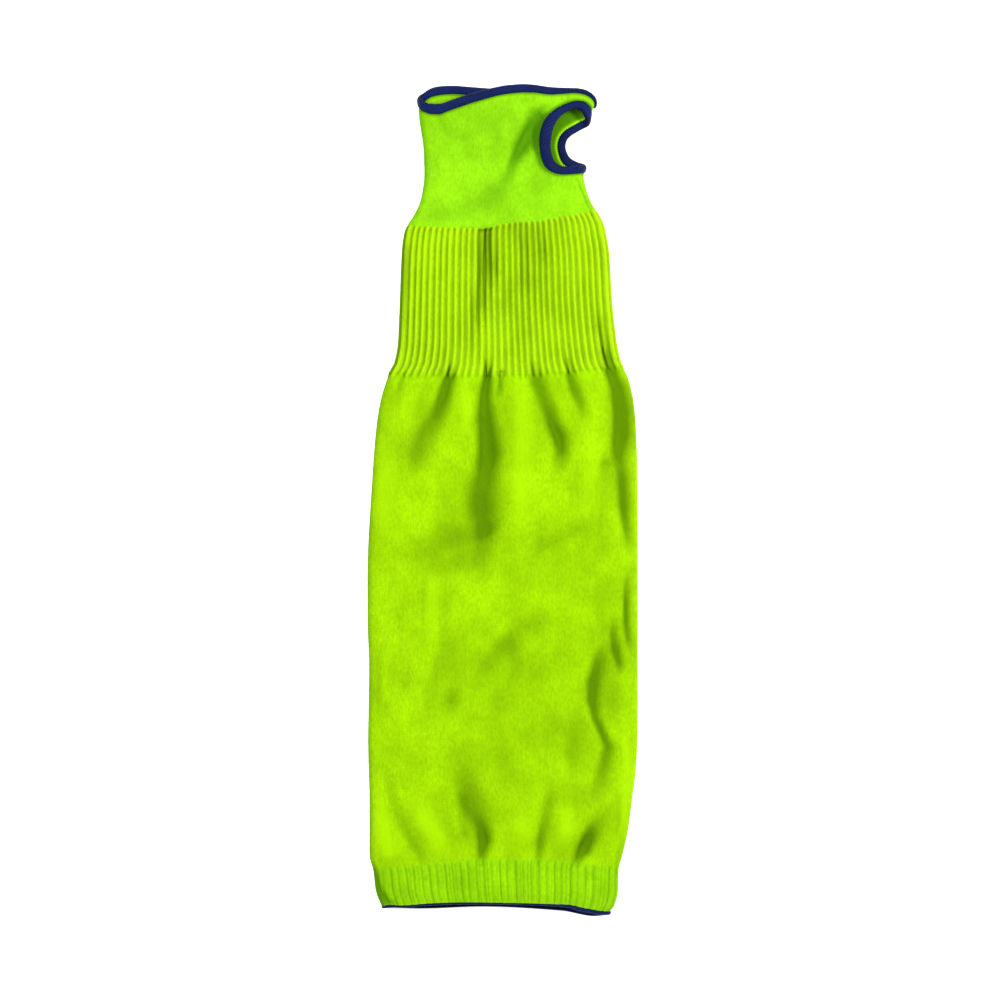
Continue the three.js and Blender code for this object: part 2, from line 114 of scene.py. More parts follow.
# Every section: how far along it is, its left and right edge from the middle, the height of its
# front layer, and the height of its back layer's middle
KNIT, RIB, EDGE = 0.75, 1.4, 1.9
SECTIONS = rows(
    "along left right loft rest",
    (0.0, 44.8, 52.2, 13.5, EDGE),
    (8.0, 44.9, 51.4, 13.5, EDGE),
    (12.0, 44.9, 49.6, 13.5, EDGE),
    (16.5, 44.7, 48.0, 13.5, EDGE),
    (21.5, 44.0, 47.4, 13.5, EDGE),
    (35.8, 42.2, 47.0, 13.2, EDGE),
    (48.5, 41.9, 44.7, 12.8, EDGE),
    (56.4, 42.8, 46.3, 12.8, KNIT),
    (62.8, 44.2, 48.6, 13.2, KNIT),
    (70.0, 47.4, 52.4, 13.8, RIB),
    (75.5, 50.6, 55.2, 14.3, RIB),
    (81.1, 52.5, 56.5, 13.6, RIB),
    (90.7, 53.7, 58.1, 14.0, RIB),
    (117.9, 54.8, 59.8, 14.0, RIB),
    (140.3, 55.8, 62.3, 14.0, RIB),
    (151.5, 57.8, 64.8, 14.4, RIB),
    (159.5, 61.9, 69.0, 15.4, RIB),
    (173.0, 66.1, 72.2, 17.3, KNIT),
    (186.5, 68.3, 73.5, 17.5, KNIT),
    (213.4, 70.5, 74.4, 17.5, KNIT),
    (270.0, 73.3, 74.6, 16.6, KNIT),
    (297.0, 73.2, 74.6, 16.4, KNIT),
    (318.4, 72.4, 74.6, 16.2, KNIT),
    (337.4, 72.6, 74.6, 16.1, KNIT),
    (359.7, 73.0, 74.4, 16.4, KNIT),
    (380.5, 72.5, 73.1, 16.6, KNIT),
    (393.0, 72.2, 71.4, 16.4, KNIT),
    (407.4, 72.2, 69.6, 16.1, KNIT),
    (423.6, 72.2, 66.1, 13.9, RIB),
    (432.1, 70.0, 63.9, 14.0, RIB),
    (443.0, 68.6, 63.6, 13.5, EDGE),
    (451.1, 65.5, 61.7, 13.2, EDGE),
    (455.0, 63.6, 59.2, 13.0, EDGE),
)

# Edges and seams: around is the share of the way round, from the left side fold over the front
# layer to the right side fold at one half, and back under
MOUTH_EDGE = rows(
    "around reach",
    (0.0, 0.55), (0.01, 0.72), (0.022, 0.87), (0.036, 0.96), (0.05, 0.98), (0.064, 0.97), (0.08, 0.88),
    (0.1, 0.75), (0.133, 0.54), (0.158, 0.4), (0.18, 0.3), (0.2, 0.2), (0.22, 0.11), (0.25, 0.02),
    (0.29, -0.03), (0.32, 0.0), (0.348, 0.08), (0.37, 0.13), (0.4, 0.15), (0.436, 0.16), (0.458, 0.22),
    (0.475, 0.36), (0.489, 0.6), (0.5, 0.86), (0.542, 0.42), (0.63, 0.23), (0.75, 0.18), (0.82, 0.08),
    (0.86, 0.02), (0.9, -0.03), (0.92, -0.03), (0.94, 0.0), (0.958, 0.07), (0.972, 0.2), (0.986, 0.4),
)
HAND_SEAM = rows(
    "around reach",
    (0.0, 0.17), (0.03, 0.13), (0.09, 0.05), (0.17, 0.0), (0.21, 0.09), (0.27, 0.33), (0.335, 0.43),
    (0.4, 0.66), (0.46, 0.88), (0.49, 1.0), (0.6, 0.75), (0.8, 0.3),
)
WRIST_SEAM = rows("around reach", (0.0, 0.25), (0.25, 0.0), (0.5, 1.0), (0.75, 0.5))
HEM_SEAM = rows(
    "around reach",
    (0.0, 0.0), (0.04, 0.08), (0.1, 0.45), (0.19, 0.87), (0.3, 1.0), (0.39, 0.8), (0.44, 0.45),
    (0.5, 0.15), (0.75, 0.6),
)
HEM_EDGE = rows(
    "around reach",
    (0.0, 0.6), (0.03, 0.65), (0.07, 0.75), (0.115, 0.92), (0.19, 1.0), (0.3, 0.93), (0.385, 0.78),
    (0.405, 0.7), (0.426, 0.48), (0.45, 0.3), (0.475, 0.13), (0.5, 0.08), (0.54, -0.1), (0.61, 0.35),
    (0.78, 0.7), (0.92, 0.5),
)

# The breadth of the strips at both ends, as a share of their widths
MOUTH_BREADTH = rows(
    "around share",
    (0.0, 1.2), (0.04, 1.26), (0.12, 1.28), (0.2, 1.15), (0.3, 1.05), (0.365, 0.94), (0.43, 0.64),
    (0.47, 0.64), (0.5, 0.66), (0.6, 0.8), (0.75, 1.0), (0.9, 1.05), (1.0, 1.2),
)
HEM_BREADTH = rows(
    "around share",
    (0.0, 0.6), (0.36, 0.58), (0.42, 1.05), (0.5, 1.15), (0.6, 0.9), (1.0, 0.65),
)

# The middle of the thumb opening's strip. in is measured from the right side fold over the front
# layer, as a share of the opening's width, down is a share of its height, and breadth is a share
# of the strip's width
THUMB_LINE = rows(
    "in down breadth",
    (0.0, 0.185, 0.98), (0.06, 0.11, 0.95), (0.12, 0.04, 0.95), (0.2, -0.014, 0.98),
    (0.285, -0.022, 1.02), (0.37, 0.01, 1.1), (0.445, 0.072, 1.18), (0.51, 0.16, 1.24),
    (0.556, 0.26, 1.26), (0.587, 0.37, 1.28), (0.603, 0.49, 1.28), (0.605, 0.61, 1.26),
    (0.59, 0.72, 1.22), (0.55, 0.825, 1.16), (0.485, 0.91, 1.1), (0.39, 0.968, 1.04),
    (0.29, 0.985, 1.0), (0.18, 0.978, 1.0), (0.08, 0.965, 0.98), (0.0, 0.95, 0.95), (-0.09, 0.92, 0.95),
    (-0.19, 0.885, 1.0), (-0.29, 0.825, 1.02), (-0.352, 0.735, 1.03), (-0.383, 0.63, 1.03),
    (-0.38, 0.535, 1.03), (-0.35, 0.455, 1.0), (-0.29, 0.385, 1.0), (-0.205, 0.325, 0.98),
    (-0.12, 0.27, 0.98), (-0.05, 0.23, 0.98),
)

# Valleys of the front layer. Each is a line of points: its place in the photograph's pixels, its
# half width in pixels and its depth in millimetres, which is negative for a ridge. The depth also
# sets the painted shade in a valley and the painted highlight on a ridge
FOLDS = [
    # gathers under the wrist's ribs
    [(403, 374, 3, 1.0), (399, 388, 4, 1.0), (395, 400, 5, 0.0)],
    [(451, 364, 3.5, 0.4), (448, 378, 6.5, 3.2), (443, 396, 8, 3.3), (436, 414, 9, 2.5),
     (424, 437, 11, 1.7), (416, 457, 11, 1.1), (413, 480, 11, 0.0)],
    [(425, 388, 6, 0.5), (418, 416, 8, 0.8), (415, 440, 8, 0.6), (413, 468, 8, 0.4),
     (411, 485, 8, 0.0)],
    [(487, 362, 3, 0.8), (487, 376, 5, 3.4), (484, 396, 7, 3.4), (484, 417, 9.5, 3.4),
     (486, 434, 10.5, 3.8), (487, 454, 11.5, 4.0), (485, 472, 13, 3.2), (481, 492, 18, 2.7),
     (482, 512, 19, 2.8), (485, 530, 13, 2.2), (482, 548, 12, 1.5), (480, 566, 11, 0.9),
     (479, 586, 9, 0.0)],
    [(452, 465, 14, 0.0), (450, 498, 17, 0.7), (446, 525, 15, 0.7), (430, 546, 12, 0.0)],
    [(501, 372, 2.5, 2.0), (499, 388, 3, 1.6), (497, 402, 4, 0.0)],
    [(532, 368, 5, 0.8), (536, 382, 8, 2.3), (544, 402, 8, 2.3), (551, 422, 8.5, 2.8),
     (558, 438, 8, 3.5), (561, 452, 7.5, 2.6), (557, 472, 9, 0.5), (556, 490, 9, 0.0)],
    [(567, 360, 3, 0.8), (569, 374, 5, 2.4), (574, 390, 6, 2.3), (581, 407, 6, 1.6),
     (587, 424, 6, 0.0)],
    [(602, 352, 4, 1.6), (610, 372, 7.5, 2.9), (617, 390, 9.5, 3.4), (620, 412, 10.5, 3.7),
     (620, 432, 11, 3.7), (618, 449, 10.5, 3.0), (620, 466, 8, 2.4), (622, 484, 7.5, 2.8),
     (623, 506, 7.5, 2.8), (626, 530, 5.5, 2.2), (629, 552, 4, 0.5)],
    [(607, 448, 6, 0.0), (605, 464, 7, 1.6), (603, 482, 7, 0.0)],
    # middle of the arm
    [(398, 562, 10, 0.0), (420, 552, 13, 1.1), (446, 542, 13, 1.4), (468, 536, 11, 1.3),
     (485, 532, 8, 1.1), (497, 526, 6, 0.6), (505, 520, 5, 0.0)],
    [(410, 572, 12, 0.0), (434, 566, 13, 0.8), (460, 562, 13, 0.8), (480, 560, 12, 0.4),
     (496, 558, 10, 0.0)],
    [(529, 556, 6, 0.0), (542, 549, 7, 0.7), (558, 540, 7, 0.9), (575, 532, 8, 0.9), (600, 522, 8, 0.4),
     (612, 516, 6, 0.0)],
    [(424, 570, 2, 0.0), (422.5, 586, 2, 0.25), (422, 612, 2, 0.2), (423, 634, 3, 0.0)],
    [(448, 590, 6, 0.0), (444, 620, 8, 0.7), (442, 655, 9, 1.1), (434, 685, 9, 0.9), (428, 706, 8, 0.6),
     (424, 726, 8, 0.0)],
    [(458, 684, 8, 0.0), (450, 700, 9, 1.0), (444, 718, 8, 0.0)],
    [(548, 616, 9, 0.0), (532, 627, 11, 0.9), (517, 633, 11, 1.1), (503, 647, 12, 1.4),
     (488, 668, 12, 1.2), (476, 692, 10, 0.3)],
    [(512, 640, 6, 0.0), (513, 662, 8, 0.8), (512, 690, 8, 0.0)],
    [(627, 580, 4, 1.0), (626, 600, 4.5, 2.4), (626, 622, 4.5, 2.6), (628, 641, 4, 2.0),
     (630, 655, 3, 0.0)],
    [(614, 614, 4, 0.0), (613, 636, 5, 1.8), (615, 650, 6, 2.6), (619, 663, 5, 2.2),
     (622, 676, 4, 0.0)],
    [(605, 640, 5, 0.0), (599, 660, 8, 2.2), (593, 682, 8.5, 3.1), (592, 701, 7.5, 3.0),
     (595, 718, 5.5, 2.6), (602, 734, 5, 2.8), (608, 748, 6, 2.5), (604, 768, 9, 1.8),
     (597, 790, 9, 0.9), (592, 808, 8, 0.0)],
    [(606, 570, 12, 0.0), (606, 600, 15, 0.7), (608, 630, 13, 0.7), (609, 655, 10, 0.0)],
    [(613, 640, 8, 0.0), (611, 670, 10, 1.1), (610, 705, 10, 1.1), (612, 732, 8, 0.0)],
    [(472, 590, 14, 0.0), (466, 625, 16, 0.5), (458, 665, 15, 0.6), (450, 700, 12, 0.6),
     (446, 725, 10, 0.0)],
    [(580, 702, 8, 0.0), (577, 726, 12, 1.2), (573, 752, 14, 1.5), (578, 782, 11, 0.3)],
    [(548, 708, 8, 0.0), (551, 732, 11, 0.9), (545, 756, 9, 0.0)],
    [(494, 728, 12, 0.0), (501, 760, 14, 1.1), (508, 790, 12, 0.0)],
    [(378, 640, 3, 0.0), (378, 664, 3, 0.6), (378, 704, 3, 0.6), (378, 730, 3, 0.0)],
    [(384, 760, 4, 0.0), (387, 780, 6, 0.7), (394, 806, 6, 0.7), (402, 824, 6, 0.9), (411, 843, 6, 1.2),
     (419, 858, 5, 0.9), (424, 868, 4, 0.0)],
    # over the hem
    [(468, 762, 10, 0.0), (464, 784, 14, 1.5), (467, 800, 13, 2.0), (474, 814, 11, 2.3),
     (481, 828, 9, 2.9), (483, 841, 8, 3.7), (481, 855, 6, 2.6), (479, 868, 5, 0.0)],
    [(461, 798, 6, 0.4), (462, 816, 6, 1.1), (466, 834, 6, 0.9), (470, 850, 5, 0.0)],
    [(554, 784, 6, 0.0), (549, 803, 7, 1.4), (544, 825, 6, 1.6), (540, 843, 5, 2.0), (538, 857, 4, 1.5),
     (537, 868, 4, 0.0)],
    [(606, 802, 7, 0.0), (596, 824, 8, 1.3), (588, 839, 8.5, 3.4), (583, 849, 8, 4.2),
     (577, 859, 5.5, 2.6), (573, 868, 4, 0.0)],
    [(622, 836, 3, 0.0), (618, 854, 3.5, 0.9), (616, 868, 3, 0.5), (615, 878, 3, 0.0)],
    [(375, 864, 1.8, 0.6), (378, 880, 2.2, 2.2), (381, 893, 3, 2.6), (387, 903, 4, 2.4),
     (400, 906, 2, 0.0)],
    # the hand
    [(536, 116, 8, 2.2), (529, 132, 9, 3.9), (521, 146, 8.5, 3.7), (513, 161, 6, 2.5),
     (509, 174, 5.5, 1.6), (501, 187, 9, 0.9), (488, 199, 11, 0.7), (465, 207, 11, 0.7),
     (434, 216, 8, 0.7), (418, 222, 7, 0.0)],
    [(545, 100, 4, 0.0), (540, 113, 4, 1.0), (536, 130, 4, 1.4), (534, 148, 3.5, 1.0),
     (537, 162, 3, 0.7), (545, 176, 3, 0.0)],
    [(466, 140, 8, 0.7), (470, 152, 9, 0.7)],
    [(440, 118, 5, 0.5), (447, 130, 6, 0.6), (456, 136, 6, 0.4)],
    [(498, 112, 5, 0.0), (497, 128, 5, 0.5), (499, 148, 5, 0.0)],
    [(576.5, 178, 1.6, 1.0), (581, 190, 1.6, 1.4), (587, 205, 1.6, 1.2), (591, 212, 1.6, 0.6)],
    # ridges between the gathers, and the folded up sides
    [(388, 430, 9, 0.0), (385, 470, 12, -0.5), (384, 510, 12, -0.5), (388, 548, 9, 0.0)],
    [(380, 780, 7, 0.0), (381, 820, 7, -0.8), (388, 852, 8, -0.8), (392, 866, 6, 0.0)],
    [(414, 790, 10, 0.0), (424, 820, 10, -0.8), (436, 840, 10, -0.9), (442, 862, 6, 0.0)],
    [(566, 800, 7, 0.0), (565, 830, 8, -0.8), (560, 855, 7, 0.0)],
    [(624, 700, 5, 0.0), (626, 760, 5, -0.6), (624, 820, 4, -0.6), (620, 845, 3, 0.0)],
    [(465, 384, 5, -0.2), (467, 410, 6, -0.6), (464, 440, 7, 0.0)],
    [(520, 384, 8, -0.3), (522, 430, 9, -0.5), (518, 500, 10, -0.6), (518, 540, 10, 0.0)],
    [(590, 440, 8, 0.0), (590, 480, 9, -0.4), (592, 540, 9, 0.0)],
    [(432, 566, 7, 0.0), (432, 586, 7.5, -0.5), (432, 625, 8, -0.5), (432, 660, 8, 0.0)],
    [(518, 806, 9, 0.0), (522, 834, 9, -0.5), (520, 860, 7, 0.0)],
    [(398, 838, 5, -0.3), (400, 850, 5, -0.3)],
    # the thumb opening's rim stands up
    [(566, 106, 5, -0.4), (553, 117, 6, -1.4), (546, 132, 7, -2.0), (545, 148, 7, -1.8),
     (551, 164, 6, -0.6)],
]

# The valleys of the wrist alone, which end at its upper seam
WRIST_FOLDS = [
    [(485, 214, 5.5, 2.4), (485, 240, 7, 3.0), (484, 262, 8, 2.6), (481, 290, 8.5, 1.7),
     (475, 325, 8, 1.0), (472, 348, 6, 0.3)],
    [(494, 246, 6, 0.0), (494, 270, 7, 0.9), (493, 294, 7, 0.0)],
    [(520, 205, 30, 0.5), (522, 250, 34, 0.7), (520, 300, 34, 0.6), (515, 350, 30, 0.3)],
    [(520, 226, 5, 0.1), (523, 250, 6, 0.5), (524, 284, 7, 0.5), (524, 310, 7, 0.0)],
    [(541, 232, 6, 0.2), (543, 250, 6, 0.7), (544, 270, 6, 0.0)],
    [(405, 226, 2, 0.4), (404, 262, 3, 2.2), (402.5, 300, 3, 1.6), (400, 340, 3, 0.0)],
    [(596, 306, 4, 0.0), (600, 332, 5, 1.2), (605, 352, 6, 1.8), (610, 372, 7, 1.0)],
]


def from_table(table, key, name, at):
    """A smooth value between a table's rows that never overshoots them."""
    xs, ys = table[key], table[name]
    slope = np.diff(ys) / np.diff(xs)
    tangent = np.zeros(len(xs))
    before, after = slope[:-1], slope[1:]
    same = before * after > 0
    tangent[1:-1][same] = (2 * before * after)[same] / (before + after)[same]
    at = np.clip(at, xs[0], xs[-1])
    i = np.clip(np.searchsorted(xs, at), 1, len(xs) - 1)
    span = xs[i] - xs[i - 1]
    t = (at - xs[i - 1]) / span
    start = (1 + 2 * t) * (1 - t) ** 2 * ys[i - 1] + t * (1 - t) ** 2 * span * tangent[i - 1]
    end = t * t * (3 - 2 * t) * ys[i] + t * t * (t - 1) * span * tangent[i]
    return start + end


def line_round(table, level, sway):
    """How far along an edge or seam lies, at a share of the way round."""
    around = np.concatenate([table["around"][-2:] - 1, table["around"], table["around"][:2] + 1])
    reach = np.concatenate([table["reach"][-2:], table["reach"], table["reach"][:2]])
    closed = {"around": around, "reach": reach}
    return lambda at: level + sway * from_table(closed, "around", "reach", at - np.floor(at))


mouth_line = line_round(MOUTH_EDGE, 0.0, MOUTH_DIP)
hand_seam = line_round(HAND_SEAM, WRIST_START + HAND_SEAM_SHIFT, -HAND_SEAM_RISE)
wrist_seam = line_round(WRIST_SEAM, ARM_START + WRIST_SEAM_SHIFT, -WRIST_SEAM_RISE)
hem_seam = line_round(HEM_SEAM, HEM_START + HEM_SEAM_SHIFT, -HEM_SEAM_RISE)
hem_line = line_round(HEM_EDGE, TOTAL_LENGTH, -HEM_EDGE_RISE)


def section(name, along):
    return from_table(SECTIONS, "along", name, along)


def layer_width(along):
    """The width of one layer between the side folds' round parts."""
    return section("left", along) + section("right", along) - 2 * FOLD_RADIUS


def loop_length(along):
    """The length once round the sleeve."""
    return 2 * layer_width(along) + 4 * QUARTER_FOLD


def to_photo(x, along):
    """The photograph's pixel that shows a point of the sleeve."""
    px = x / MM_PER_PIXEL + MIDDLE_PIXEL[0]
    py = (along - TOTAL_LENGTH / 2) / MM_PER_PIXEL + MIDDLE_PIXEL[1]
    return px, py


def fold_depth(folds, x, along):
    """How deep the front layer is dented by its folds. They are steeper on their left."""
    px, py = to_photo(x, along)
    depth = np.zeros_like(px)
    for fold in folds:
        best = np.zeros_like(px)
        for (x0, y0, w0, d0), (x1, y1, w1, d1) in zip(fold, fold[1:]):
            dx, dy = x1 - x0, y1 - y0
            t = np.clip(((px - x0) * dx + (py - y0) * dy) / (dx * dx + dy * dy), 0, 1)
            off_x, off_y = px - x0 - t * dx, py - y0 - t * dy
            length = math.hypot(dx, dy)
            side = np.clip((off_x * dy - off_y * dx) / length / (w0 + t * (w1 - w0)), -1, 1)
            away = np.hypot(off_x, off_y) / (w0 + t * (w1 - w0)) / (1 + LEAN * side)
            value = (d0 + t * (d1 - d0)) * np.exp(-away ** 2.4)
            best = np.where(np.abs(value) > np.abs(best), value, best)
        depth += best
    return FOLD_SCALE * depth


def all_folds(x, along, turn):
    """How deep all folds are together. The wrist's own begin at its upper seam."""
    below_seam = np.clip((along - hand_seam(turn)) / SEAM_FADE, 0, 1)
    return fold_depth(FOLDS, x, along) + below_seam * fold_depth(WRIST_FOLDS, x, along)


def unevenness(x, along):
    """The soft rise and fall that slack knitted fabric has everywhere."""
    # how fast each wave turns across and along, where it starts, and its height
    waves = (
        (0.11, 0.031, 0.3, 0.22),
        (-0.05, 0.083, 1.7, 0.18),
        (0.19, -0.06, 4.1, 0.12),
        (0.27, 0.14, 2.2, 0.07),
        (-0.23, 0.21, 0.9, 0.06),
    )
    return sum(size * np.sin(kx * x + ky * along + turn) for kx, ky, turn, size in waves)


def middle(around, along):
    """The middle of the fabric, and the painted shade of its folds and its left edge there."""
    turn = around - np.floor(around)
    left, right, rest = section("left", along), section("right", along), section("rest", along)
    flat = layer_width(along)
    way = turn * loop_length(along)
    r, q = FOLD_RADIUS, QUARTER_FOLD
    marks = [way < q, way < q + flat, way < 3 * q + flat, way < 3 * q + 2 * flat]
    angle = np.select(
        marks,
        [np.pi - way / r, np.pi / 2, np.pi / 2 - (way - q - flat) / r, -np.pi / 2],
        -np.pi / 2 - (way - 3 * q - 2 * flat) / r,
    )
    centre = np.select(
        marks,
        [r - left, r - left + way - q, right - r, right - r - (way - 3 * q - flat)],
        r - left,
    )
    x = centre + r * np.cos(angle)
    z = rest + r * (1 + np.sin(angle))
    front = turn < 0.5
    across = np.abs(4 * turn - 1)
    swell = np.where(front, 1 - across ** 3, 0)
    crown = section("loft", along) - KNIT_WALL / 2 - rest - 2 * r
    folds = all_folds(x, along, turn)
    soft = unevenness(x, along) * np.minimum(1, 2.5 * swell)
    z = z + crown * swell - folds * np.sqrt(swell) + soft
    points = np.stack([x, TOTAL_LENGTH / 2 - along, z], axis=-1)
    # painted shade: the folds' own fades out at the side folds, and more darkens the left side fold's
    # edge
    side_share = np.clip((0.25 - np.abs(turn - 0.25)) / SIDE_FADE, 0, 1)
    from_left = np.minimum(turn, 1 - turn) * loop_length(along)
    return points, folds * side_share + EDGE_SHADE * np.exp(-(from_left / EDGE_SHADE_WIDTH) ** 2)


def skin(around, along, offset):
    """A point off the middle of the fabric, outwards where offset is positive, and the painted shade
    there.
    """
    around, along, offset = np.broadcast_arrays(around, along, offset)
    turn, step = 4e-4, 0.1
    here, fold = middle(around, along)
    across = middle(around + turn, along)[0] - middle(around - turn, along)[0]
    down = middle(around, along + step)[0] - middle(around, along - step)[0]
    normal = np.cross(down, across)
    normal /= np.linalg.norm(normal, axis=-1, keepdims=True)
    return here + normal * offset[..., None], fold


def in_row_frame(points):
    """Millimetres from the sleeve's own middle, as metres in the row frame."""
    return (points + np.array([MIDDLE_X, MIDDLE_Y, 0.0])) * 0.001


def make_object(name, points, faces, uvs, material, fold=None, rim=None):
    """A smooth mesh object from arrays, in the row frame, with sharp edges where rim is true."""
    mesh = bpy.data.meshes.new(name)
    flat = in_row_frame(points.reshape(-1, 3))
    sizes = np.full(len(faces), 4, dtype=np.int32)
    mesh.vertices.add(len(flat))
    mesh.vertices.foreach_set("co", flat.ravel())
    mesh.loops.add(faces.size)
    mesh.loops.foreach_set("vertex_index", faces.ravel().astype(np.int32))
    mesh.polygons.add(len(faces))
    mesh.polygons.foreach_set("loop_start", (np.arange(len(faces)) * 4).astype(np.int32))
    mesh.polygons.foreach_set("loop_total", sizes)
    mesh.polygons.foreach_set("use_smooth", np.ones(len(faces), dtype=bool))
    layer = mesh.uv_layers.new(name="UVMap")
    layer.uv.foreach_set("vector", uvs.reshape(-1, 2).astype(np.float32).ravel())
    if fold is not None:
        attribute = mesh.attributes.new("fold", "FLOAT", "POINT")
        attribute.data.foreach_set("value", fold.ravel().astype(np.float32))
    mesh.update(calc_edges=True)
    mesh.validate()
    if rim is not None:
        ends = np.empty(len(mesh.edges) * 2, dtype=np.int32)
        mesh.edges.foreach_get("vertices", ends)
        sharp = rim[ends].reshape(-1, 2).all(axis=1)
        mesh.attributes.new("sharp_edge", "BOOLEAN", "EDGE").data.foreach_set("value", sharp)
    item = bpy.data.objects.new(name, mesh)
    bpy.context.scene.collection.objects.link(item)
    mesh.materials.append(material)
    return item


def grid_faces(wide, high, start, flip):
    """Quads of a grid that closes on itself sideways: the corners' numbers, by column and row."""
    column, row = np.meshgrid(np.arange(wide), np.arange(high - 1), indexing="ij")
    after = (column + 1) % wide
    corners = [(column, row), (column, row + 1), (after, row + 1), (after, row)]
    if flip:
        corners = corners[::-1]
    return np.stack([start + c * high + r for c, r in corners], axis=-1)


def hole_walls(keep, out0, in0):
    """The quads that join both faces of the fabric round a hole."""
    columns, cells = keep.shape

    def vertex(base, c, r):
        return base + (c % columns) * (cells + 1) + r

    walls = []
    for c, r in np.argwhere(keep):
        sides = (
            (c, r, c + 1, r, r > 0 and not keep[c, r - 1]),
            (c + 1, r + 1, c, r + 1, r < cells - 1 and not keep[c, r + 1]),
            (c, r + 1, c, r, not keep[c - 1, r]),
            (c + 1, r, c + 1, r + 1, not keep[(c + 1) % columns, r]),
        )
        for c0, r0, c1, r1, open_side in sides:
            if open_side:
                ends = ((out0, c0, r0), (out0, c1, r1), (in0, c1, r1), (in0, c0, r0))
                walls.append([vertex(*end) for end in ends])
    return np.array(walls)


def knitted_tube(name, material, columns, top, bottom, shares, inner_shares, relief,
                 wale=WALE, course=COURSE, hole=None):
    """A closed wall of knitted fabric between two lines round the sleeve.

    relief(around, along) gives the ribs' height on both faces, and how much painted shade darkens
    the valleys between them, counted as a fold's depth. hole(around, along) is true where the fabric is
    cut away: both faces then share their rows.
    """
    around = np.arange(columns) / columns
    stitches = round(float(np.mean(loop_length((top(around) + bottom(around)) / 2))) / wale)
    faces, points, folds, uvs, rims, grids = [], [], [], [], [], []
    start = 0
    for side, rows_of in ((1, shares), (-1, inner_shares)):
        a = np.repeat(around[:, None], len(rows_of), axis=1)
        along = top(a) + (bottom(a) - top(a)) * rows_of[None, :]
        rib, shade = relief(a, along)
        place, fold = skin(a, along, side * KNIT_WALL / 2 + rib)
        fold = fold + shade
        # painted shade inside the tube, darkest round the right side fold
        if side < 0:
            fold = fold + INNER_SHADE * np.sin(np.pi * a) ** 2
        rim = np.zeros(a.shape, dtype=bool)
        rim[:, [0, -1]] = True
        quads = grid_faces(columns, len(rows_of), start, flip=side < 0)
        here = np.stack([a * stitches, along / course], axis=-1)
        after = np.roll(here, -1, axis=0)
        after[-1, :, 0] = stitches
        uv = np.stack([here[:, :-1], here[:, 1:], after[:, 1:], after[:, :-1]], axis=2)
        if side < 0:
            uv = uv[:, :, ::-1]
        keep = np.ones(quads.shape[:2], dtype=bool)
        if hole is not None:
            beside = np.roll(along, -1, axis=0)
            mid_a = a[:, :-1] + 0.5 / columns
            mid_along = 0.25 * (along[:, :-1] + along[:, 1:] + beside[:, :-1] + beside[:, 1:])
            keep = ~hole(mid_a, mid_along)
        grids.append((start, len(rows_of), keep))
        faces.append(quads[keep])
        uvs.append(uv[keep])
        points.append(place.reshape(-1, 3))
        folds.append(fold.ravel())
        rims.append(rim.ravel())
        start += a.size
    (out0, out_rows, keep), (in0, in_rows, _) = grids
    column = np.arange(columns)
    out_here, in_here = out0 + column * out_rows, in0 + column * in_rows
    out_after, in_after = np.roll(out_here, -1), np.roll(in_here, -1)
    out_last, in_last = out_rows - 1, in_rows - 1
    low = [out_here + out_last, in_here + in_last, in_after + in_last, out_after + out_last]
    joins = [np.stack([out_here, out_after, in_after, in_here], axis=-1), np.stack(low, axis=-1)]
    if hole is not None:
        joins.append(hole_walls(keep, out0, in0))
    for join in joins:
        faces.append(join)
        uvs.append(np.full((len(join), 4, 2), 0.5))
    faces, uvs, points, folds, rims = map(np.concatenate, (faces, uvs, points, folds, rims))
    used = np.unique(faces)
    index = np.full(len(points), -1)
    index[used] = np.arange(len(used))
    return make_object(name, points[used], index[faces], uvs, material, folds[used], rims[used])


def rib_shape(turns):
    """A rounded crest and a narrower valley, from -0.5 to 0.5."""
    wave = 0.5 + 0.5 * np.cos(2 * np.pi * turns)
    return wave ** 0.9 - 0.5


def rib_shade(turns):
    """How much painted shade darkens the valley between two ribs, from 1 down to a little under 0 on
    the crest, where it is a painted highlight.
    """
    return 1.4 * (0.5 - 0.5 * np.cos(2 * np.pi * turns)) ** 1.4 - 0.4


def wrist_phase(around):
    """The wrist's ribs counted round the sleeve. They are spaced a little unevenly."""
    broad = 0.1 * np.sin(2 * np.pi * 3 * around + 0.4)
    fine = 0.04 * np.sin(2 * np.pi * 17 * around + 2)
    return WRIST_RIBS * around + broad + fine


def wrist_relief(around, along):
    """Even ribs that grow to their full height under the upper seam."""
    phase = wrist_phase(around)
    from_seam = along - hand_seam(around)
    grown = np.clip(from_seam / 1.6, 0, 1)
    # painted shade in the ribs' valleys, stronger just under the hand's seam
    under_seam = 1.3 * np.exp(-(from_seam / 2.4) ** 2)
    size = RIB_DEPTH * (0.25 + 0.75 * grown)
    return size * rib_shape(phase), (WRIST_SHADE * grown + under_seam) * rib_shade(phase)


def arm_relief(around, along):
    """The wrist's ribs run out a little way into the plain fabric, some further than others."""
    phase = wrist_phase(around)
    rib = np.floor(phase + 0.5)
    reach = 1.7 + 0.9 * np.sin(rib * 2.4) + 0.6 * np.sin(rib * 5.1)
    gone = np.exp(-(np.clip(along - wrist_seam(around), 0, None) / np.maximum(reach, 1.2)) ** 2)
    # the ribs' valleys keep their painted shade as far as they run
    return RIB_DEPTH * rib_shape(phase) * gone, WRIST_SHADE * rib_shade(phase) * gone


